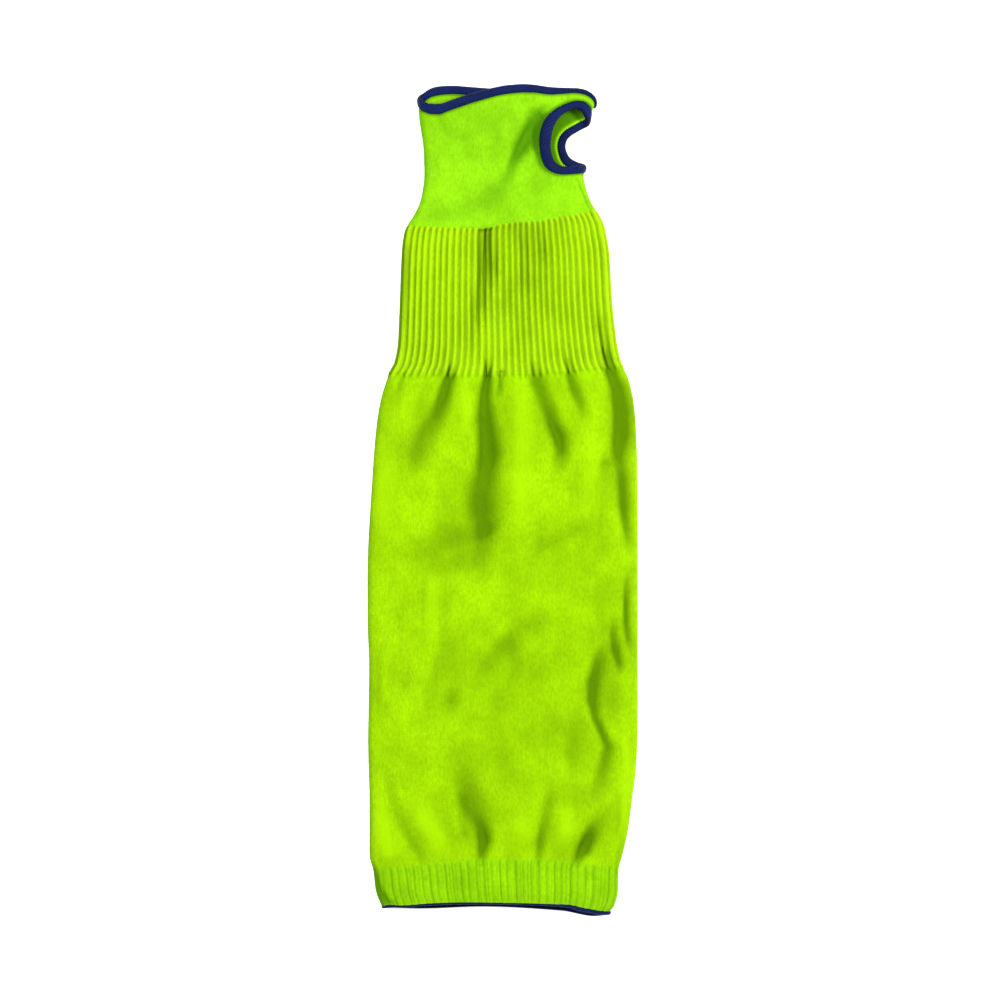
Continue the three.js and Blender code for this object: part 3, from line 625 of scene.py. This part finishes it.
def hem_relief(around, along):
    """Uneven ribs with split crests, which fade at both ends of the hem."""
    turns = HEM_RIBS * around
    rib = np.floor(turns + 0.5)
    sway = 0.16 * np.sin(rib * 1.9) + 0.12 * np.sin(rib * 4.3)
    phase = turns + sway * np.cos(np.pi * (turns - rib)) ** 2
    wave = 0.5 + 0.5 * np.cos(2 * np.pi * phase)
    broad = wave ** 0.5 - 0.5
    fine = 0.5 * np.cos(4 * np.pi * phase)
    crest = np.clip(wave, 0, 1) ** 6
    valley = np.clip(rib_shade(phase), 0, 1)
    size = 0.75 + 0.35 * np.sin(rib * 2.7)
    split = 0.7 + 0.6 * np.sin(rib * 1.3 + 1)
    from_seam = along - hem_seam(around)
    ends = np.clip(from_seam / 2.5, 0, 1) * np.clip(0.6 + (hem_line(around) - along) / 4, 0, 1)
    # painted shade in the valleys and the split crests' grooves, and more in the valleys along the seam
    seam = 0.25 * np.exp(-((from_seam - 0.6) / 0.9) ** 2)
    height = RIB_DEPTH * 0.5 * size * (0.8 * broad - 0.3 * split * crest + 0.22 * fine) * ends
    dark = (1.1 * size * valley ** 1.6 + 0.55 * split * crest) * ends
    return height, HEM_SHADE * (dark + seam * valley)


def strip_half_width(width, breadth, around):
    """Half the width of a strip at one of the sleeve's ends."""
    turn = around - np.floor(around)
    return width / 2 * np.interp(turn, breadth["around"], breadth["share"])


def hand_relief(around, along):
    """The plain knit stands a little proud at the ribs. Painted shade darkens it beside the bindings,
    and a painted highlight lightens the back layer beside its own strip.
    """
    seam = np.exp(-((hand_seam(around) - along - 1.2) / 1.1) ** 2)
    front = (around - np.floor(around)) < 0.5
    x = (0.5 - around) * loop_length(along)
    own, over = np.full(x.shape, np.inf), np.full(x.shape, np.inf)
    for (px, py), breadth in zip(thumb_line[::4], thumb_breadth[::4]):
        half = BINDING_WIDTH / 2 * breadth
        own = np.minimum(own, np.hypot(x - px, along - py) - half)
        over = np.minimum(over, np.hypot(-x - px, along - py) - half)
    own, over = np.clip(own, 0, None), np.clip(over, 0, None)
    # the painted shade is broad on the binding's left, where it stands up most, and narrow below it
    middle_x, middle_along = 0.25 * THUMB_WIDTH, THUMB_START + 0.45 * THUMB_HEIGHT
    to_left = np.clip((x - middle_x) / np.hypot(x - middle_x, along - middle_along), 0, 1)
    reach = THUMB_SHADE_WIDTH + THUMB_SHADE_GROWTH * to_left
    beside = THUMB_SHADE * np.exp(-(own / reach) ** 2)
    # the back layer: painted shade under the front layer's strip, and a painted highlight beside its own
    below = OVERHANG_SHADE * np.exp(-(over / OVERHANG_WIDTH) ** 2) - BACK_HIGHLIGHT * np.exp(-own ** 2)
    # painted shade on the fabric just past the hand end's strip
    strip = 2 * strip_half_width(BINDING_WIDTH, MOUTH_BREADTH, around)
    from_mouth = np.clip(along - mouth_line(around) + MOUTH_OVERHANG - strip, 0, None)
    at_mouth = MOUTH_SHADE * np.exp(-(from_mouth / MOUTH_SHADE_WIDTH) ** 2)
    return 0.35 * seam * np.where(front, 1, 0.3), np.where(front, beside, below) + at_mouth


def closed_curve(points, count):
    """Points at even steps on a smooth closed curve through the given ones, and its length."""
    dense = []
    for i in range(len(points)):
        a, b, c, d = (points[(i + k) % len(points)] for k in (-1, 0, 1, 2))
        for t in np.linspace(0, 1, 40, endpoint=False):
            square = (2 * a - 5 * b + 4 * c - d) * t * t
            cube = (3 * b - a - 3 * c + d) * t ** 3
            dense.append(0.5 * (2 * b + (c - a) * t + square + cube))
    looped = np.array(dense + dense[:1])
    steps = np.linalg.norm(np.diff(looped[:, :2], axis=0), axis=1)
    way = np.concatenate([[0], np.cumsum(steps)])
    at = np.linspace(0, way[-1], count, endpoint=False)
    return np.stack([np.interp(at, way, column) for column in looped.T], axis=-1), way[-1]


# The line of the thumb opening's strip, unrolled: in from the right side fold, and along
thumb_points = np.stack([
    THUMB_LINE["in"] * THUMB_WIDTH,
    THUMB_START + THUMB_LINE["down"] * THUMB_HEIGHT,
    THUMB_LINE["breadth"],
], axis=-1)
thumb_curve, thumb_length = closed_curve(thumb_points, 420)
thumb_line, thumb_breadth = thumb_curve[:, :2], thumb_curve[:, 2]


def thumb_hole(around, along):
    """True inside the line of the thumb opening's binding."""
    x = (0.5 - around) * loop_length(along)
    inside = np.zeros(x.shape, dtype=bool)
    ring = thumb_line[::3]
    for (x0, y0), (x1, y1) in zip(ring, np.roll(ring, -1, axis=0)):
        crosses = (y0 > along) != (y1 > along)
        if y1 != y0:
            inside ^= crosses & (x < (x1 - x0) * (along - y0) / (y1 - y0) + x0)
    return inside


def bead(name, material, spots, half_width, half_thick, length, sides=22):
    """A flattened strip of wrapped thread along a closed line on the fabric.

    spots(growth) gives the line moved sideways in the fabric by a distance, as around and along.
    """
    count = len(spots(0.0)[0])
    angle = 2 * np.pi * np.arange(sides) / sides
    wide, thick = (np.sign(v) * np.abs(v) ** 0.85 for v in (np.cos(angle), np.sin(angle)))
    turns = round(length / THREAD_PITCH)
    step = np.arange(count) / count
    places = []
    for w, t, turn in zip(wide, thick, angle):
        wrap = 1 + 0.05 * np.cos(2 * np.pi * turns * step + turn)
        wrap += 0.02 * np.cos(2 * np.pi * turns * 3 * step - turn)
        around, along = spots(half_width * w * wrap)
        places.append(skin(around, along, half_thick * t * wrap)[0])
    points = np.stack(places, axis=1)
    i, j = np.meshgrid(np.arange(count), np.arange(sides), indexing="ij")
    a, b = (i + 1) % count, (j + 1) % sides
    quads = np.stack([i * sides + j, i * sides + b, a * sides + b, a * sides + j], axis=-1)
    u0, u1 = i / count * turns, (i + 1) / count * turns
    v0, v1 = j / sides, (j + 1) / sides
    corners = ((u0, v0), (u0, v1), (u1, v1), (u1, v0))
    uv = np.stack([np.stack(corner, axis=-1) for corner in corners], axis=2)
    # faces point outwards where the first quad's normal leaves the strip's own middle
    first = points.reshape(-1, 3)[quads[0, 0]]
    normal = np.cross(first[1] - first[0], first[3] - first[0])
    if np.dot(normal, first.mean(0) - points[0].mean(0)) < 0:
        quads, uv = quads[..., ::-1], uv[..., ::-1, :]
    return make_object(name, points, quads.reshape(-1, 4), uv.reshape(-1, 4, 2), material)


def thumb_spots(growth):
    """The thumb opening's line, moved outwards from its middle."""
    run = np.roll(thumb_line, -1, axis=0) - np.roll(thumb_line, 1, axis=0)
    run /= np.linalg.norm(run, axis=1, keepdims=True)
    side = np.stack([run[:, 1], -run[:, 0]], axis=-1)
    growth = np.broadcast_to(growth, (len(thumb_line),))
    spot = thumb_line + side * growth[:, None]
    return 0.5 - spot[:, 0] / loop_length(spot[:, 1]), spot[:, 1]


class Nodes:
    """Short names for building a material's nodes."""

    def __init__(self, name):
        self.material = bpy.data.materials.new(name)
        self.material.use_nodes = True
        self.tree = self.material.node_tree
        self.shader = self.tree.nodes["Principled BSDF"]

    def node(self, kind, **settings):
        node = self.tree.nodes.new(kind)
        for key, value in settings.items():
            setattr(node, key, value)
        return node

    def put(self, socket, value):
        if isinstance(value, bpy.types.NodeSocket):
            self.tree.links.new(value, socket)
        else:
            socket.default_value = value

    def math(self, operation, *values):
        node = self.node("ShaderNodeMath", operation=operation)
        for socket, value in zip(node.inputs, values):
            self.put(socket, value)
        return node.outputs[0]

    def mix(self, factor, a, b):
        node = self.node("ShaderNodeMix", data_type="RGBA")
        self.put(node.inputs["Factor"], factor)
        self.put(node.inputs[6], a)
        self.put(node.inputs[7], b)
        return node.outputs[2]

    def uv_parts(self):
        """The two texture coordinates."""
        uv = self.node("ShaderNodeSeparateXYZ")
        self.put(uv.inputs[0], self.node("ShaderNodeUVMap", uv_map="UVMap").outputs[0])
        return uv.outputs[0], uv.outputs[1]

    def noise(self, scale, detail, stretch=(1, 1, 1)):
        where = self.node("ShaderNodeTexCoord").outputs["Object"]
        mapping = self.node("ShaderNodeMapping")
        self.put(mapping.inputs["Vector"], where)
        mapping.inputs["Scale"].default_value = stretch
        node = self.node("ShaderNodeTexNoise")
        self.put(node.inputs["Vector"], mapping.outputs[0])
        node.inputs["Scale"].default_value = scale
        node.inputs["Detail"].default_value = detail
        return node.outputs["Fac"]

    def ramp(self, value, low, high, out_low=0.0, out_high=1.0):
        node = self.node("ShaderNodeMapRange")
        for socket, number in zip(node.inputs, (value, low, high, out_low, out_high)):
            self.put(socket, number)
        return node.outputs[0]

    def bump(self, height, strength, distance, under=None):
        node = self.node("ShaderNodeBump")
        node.inputs["Strength"].default_value = strength
        node.inputs["Distance"].default_value = distance
        self.put(node.inputs["Height"], height)
        if under is not None:
            self.put(node.inputs["Normal"], under)
        return node.outputs["Normal"]


def knit_material(name, yarn_and_highlight, deep_tone_and_shade):
    """Plain knit: columns of V shaped stitches, in yarn that varies a little, with painted shade in its
    folds and valleys and a painted highlight on its ridges.
    """
    n = Nodes(name)
    stitch_height, deepest_shade = 0.0006, 0.85

    def hump(value):
        """1 in the middle of a step from 0 to 1, and 0 at its ends."""
        off = n.math("ABSOLUTE", n.math("SUBTRACT", n.math("MULTIPLY", value, 2.0), 1.0))
        return n.math("SUBTRACT", 1.0, n.math("POWER", off, 2.0))

    u, v = n.uv_parts()
    across = n.math("ABSOLUTE", n.math("SUBTRACT", n.math("MULTIPLY", n.math("FRACT", u), 2.0), 1.0))
    slant = n.math("FRACT", n.math("ADD", v, n.math("MULTIPLY", across, 0.55)))
    leg, loop = hump(across), hump(slant)
    stitch = n.math("MULTIPLY", n.math("SQRT", leg), n.math("ADD", 0.45, n.math("MULTIPLY", loop, 0.55)))
    fibre = n.noise(2600.0, 3.0, (1, 0.5, 1))
    cloud = n.noise(30.0, 2.0)
    patch = n.noise(85.0, 3.0, (1, 0.7, 1))
    speckle = n.noise(900.0, 2.0, (1, 0.45, 1))
    colour = n.mix(n.ramp(stitch, 0.0, 0.75, 0.2, 0.0), yarn_and_highlight, deep_tone_and_shade)
    colour = n.mix(n.ramp(cloud, 0.38, 0.66, 0.0, 0.24), colour, deep_tone_and_shade)
    colour = n.mix(n.ramp(patch, 0.4, 0.68, 0.0, 0.2), colour, deep_tone_and_shade)
    colour = n.mix(n.ramp(speckle, 0.35, 0.75, 0.0, 0.26), colour, deep_tone_and_shade)
    # painted shade: a positive fold attribute darkens the colour towards the deep tone, and a negative
    # one is a painted highlight towards the bright colour
    fold = n.node("ShaderNodeAttribute", attribute_name="fold").outputs["Fac"]
    colour = n.mix(n.ramp(fold, 0.0, 3.6, 0.0, deepest_shade), colour, deep_tone_and_shade)
    colour = n.mix(n.ramp(fold, -1.0, 0.0, 0.8, 0.0), colour, yarn_and_highlight)
    n.put(n.shader.inputs["Base Color"], colour)
    n.put(n.shader.inputs["Roughness"], n.ramp(fibre, 0.2, 0.8, 0.78, 0.95))
    n.shader.inputs["Specular IOR Level"].default_value = 0.04
    n.shader.inputs["Sheen Weight"].default_value = 0.05
    n.shader.inputs["Sheen Roughness"].default_value = 0.5
    n.shader.inputs["Sheen Tint"].default_value = (0.7, 1.0, 0.05, 1.0)
    first = n.bump(stitch, 0.4, stitch_height)
    n.put(n.shader.inputs["Normal"], n.bump(fibre, 0.25, 0.0003, first))
    return n.material


def binding_material(name):
    """Dark blue thread wrapped over the edge, with a slight sheen and painted shade along its sides."""
    n = Nodes(name)
    u, v = n.uv_parts()
    lean = n.math("ADD", n.math("MULTIPLY", u, 0.4), n.math("MULTIPLY", v, 14.0))
    strand = n.math("ABSOLUTE", n.math("SINE", n.math("MULTIPLY", lean, math.pi)))
    fibre = n.noise(3000.0, 3.0)
    cloud = n.noise(120.0, 2.0)
    colour = n.mix(n.ramp(strand, 0.1, 0.9), (0.002, 0.007, 0.04, 1), (0.004, 0.017, 0.155, 1))
    colour = n.mix(n.ramp(cloud, 0.35, 0.7, 0.0, 0.6), colour, (0.002, 0.008, 0.055, 1))
    # painted shade: the strip's sides, where its section turns away from its flat faces, are darkened
    facing = n.math("ABSOLUTE", n.math("SINE", n.math("MULTIPLY", v, 2 * math.pi)))
    colour = n.mix(n.ramp(facing, 0.35, 0.95, 0.9, 0.0), colour, (0.001, 0.004, 0.012, 1))
    n.put(n.shader.inputs["Base Color"], colour)
    n.put(n.shader.inputs["Roughness"], n.ramp(fibre, 0.2, 0.8, 0.42, 0.62))
    n.shader.inputs["Specular IOR Level"].default_value = 0.12
    n.shader.inputs["Sheen Weight"].default_value = 0.06
    n.shader.inputs["Sheen Tint"].default_value = (0.2, 0.3, 1.0, 1.0)
    first = n.bump(strand, 0.7, 0.00025)
    n.put(n.shader.inputs["Normal"], n.bump(fibre, 0.3, 0.0002, first))
    return n.material


hand_knit = knit_material("hand_knit", (0.41, 1.0, 0.008, 1), (0.07, 0.265, 0.001, 1))
rib_knit = knit_material("rib_knit", (0.57, 0.99, 0.006, 1), (0.11, 0.25, 0.001, 1))
hem_knit = knit_material("hem_knit", (0.44, 1.0, 0.003, 1), (0.085, 0.25, 0.001, 1))
arm_knit = knit_material("arm_knit", (0.485, 0.96, 0.001, 1), (0.083, 0.205, 0.0, 1))
binding_yarn = binding_material("binding_yarn")


def even(count):
    """Rows at even steps from one of a tube's lines to the other."""
    return np.linspace(0, 1, count)


def hand_end(around):
    return hand_seam(around) + SEAM_LAP


arm_rows = np.concatenate([
    np.linspace(0, 0.05, 16, endpoint=False),
    np.linspace(0.05, 0.3, 40, endpoint=False),
    np.linspace(0.3, 1, 78),
])
hand = knitted_tube("hand_knit_tube", hand_knit, 250, mouth_line, hand_end, even(96), even(96),
                    hand_relief, hole=thumb_hole)
wrist = knitted_tube("wrist_rib_tube", rib_knit, WRIST_RIBS * 8, hand_seam, wrist_seam, even(90),
                     even(28), wrist_relief, WALE * 0.62, COURSE * 1.4)
arm = knitted_tube("arm_knit_tube", arm_knit, WRIST_RIBS * 8, wrist_seam, hem_seam, arm_rows,
                   even(30), arm_relief)
hem = knitted_tube("hem_rib_tube", hem_knit, HEM_RIBS * 12, hem_seam, hem_line, even(26), even(10),
                   hem_relief, WALE * 0.7)

around_mouth = np.arange(900) / 900
mouth_width = strip_half_width(BINDING_WIDTH, MOUTH_BREADTH, around_mouth)
around_hem = np.arange(1100) / 1100
hem_width = strip_half_width(HEM_BINDING_WIDTH, HEM_BREADTH, around_hem)


def mouth_spots(growth):
    return around_mouth, mouth_line(around_mouth) + mouth_width - MOUTH_OVERHANG + growth


def hem_spots(growth):
    along = hem_line(around_hem) + HEM_STRIP_OUT + hem_width * HEM_STRIP_SHARE + growth
    return around_hem, along


mouth_binding = bead("hand_edge_strip", binding_yarn, mouth_spots, mouth_width,
                     BINDING_THICKNESS / 2, MOUTH_LOOP)
thumb_binding = bead("thumb_edge_strip", binding_yarn, thumb_spots,
                     BINDING_WIDTH / 2 * thumb_breadth, BINDING_THICKNESS / 2, thumb_length)
hem_binding = bead("hem_edge_strip", binding_yarn, hem_spots, hem_width,
                   HEM_BINDING_THICKNESS / 2, HEM_LOOP, sides=16)

DRESSED = [
    (hand, "hand_section", "hand_knit"),
    (wrist, "wrist_rib", "rib_knit"),
    (arm, "arm_section", "arm_knit"),
    (hem, "hem_rib", "rib_knit"),
    (mouth_binding, "hand_edge_binding", "binding_yarn"),
    (thumb_binding, "thumb_edge_binding", "binding_yarn"),
    (hem_binding, "hem_edge_binding", "binding_yarn"),
]
for piece, node, slot in DRESSED:
    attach(piece, "root")
    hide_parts(node)

# The floor, the light and the camera
floor_nodes = Nodes("floor_white")
floor_nodes.shader.inputs["Base Color"].default_value = (0.96, 0.96, 0.96, 1)
floor_nodes.shader.inputs["Roughness"].default_value = 0.9
floor_nodes.shader.inputs["Specular IOR Level"].default_value = 0.1
floor_nodes.shader.inputs["Emission Color"].default_value = (1, 1, 1, 1)
floor_nodes.shader.inputs["Emission Strength"].default_value = 0.8
floor_mesh = bpy.data.meshes.new("floor")
floor_mesh.from_pydata([(-3, -3, 0), (3, -3, 0), (3, 3, 0), (-3, 3, 0)], [], [(0, 1, 2, 3)])
floor_mesh.materials.append(floor_nodes.material)
floor = bpy.data.objects.new("floor", floor_mesh)
bpy.context.scene.collection.objects.link(floor)


def area_light(name, place, target, size, power):
    data = bpy.data.lights.new(name, "AREA")
    data.shape = "DISK"
    data.size = size
    data.energy = power
    lamp = bpy.data.objects.new(name, data)
    lamp.location = place
    lamp.rotation_euler = (Vector(target) - Vector(place)).to_track_quat("-Z", "Y").to_euler()
    bpy.context.scene.collection.objects.link(lamp)


area_light("key", (0.95, 0.35, 1.25), (0, 0, 0), 0.5, 18.5)
area_light("fill", (-0.95, 0.2, 1.25), (0, 0, 0), 0.5, 11.2)
area_light("top", (-0.1, 0.2, 2.0), (0, 0, 0), 0.8, 6.4)

world = bpy.data.worlds.new("studio")
world.use_nodes = True
background = world.node_tree.nodes["Background"]
background.inputs["Color"].default_value = (1, 1, 1, 1)
background.inputs["Strength"].default_value = 0.12
bpy.context.scene.world = world
bpy.context.scene.view_settings.view_transform = "Standard"
bpy.context.scene.view_settings.look = "None"

# The camera shows VIEW_WIDTH at the fabric's height. Lengths are in metres but for the sensor's
CAMERA_X, CAMERA_Y, CAMERA_HEIGHT = -0.0015, -0.00029, 2.6
FABRIC_HEIGHT = 0.012
VIEW_WIDTH = 0.5508
SENSOR_WIDTH = 36.0
camera_data = bpy.data.cameras.new("camera")
camera_data.sensor_width = SENSOR_WIDTH
camera_data.lens = SENSOR_WIDTH * (CAMERA_HEIGHT - FABRIC_HEIGHT) / VIEW_WIDTH
camera_data.clip_end = 20.0
camera = bpy.data.objects.new("camera", camera_data)
camera.location = (CAMERA_X, CAMERA_Y, CAMERA_HEIGHT)
bpy.context.scene.collection.objects.link(camera)
bpy.context.scene.camera = camera
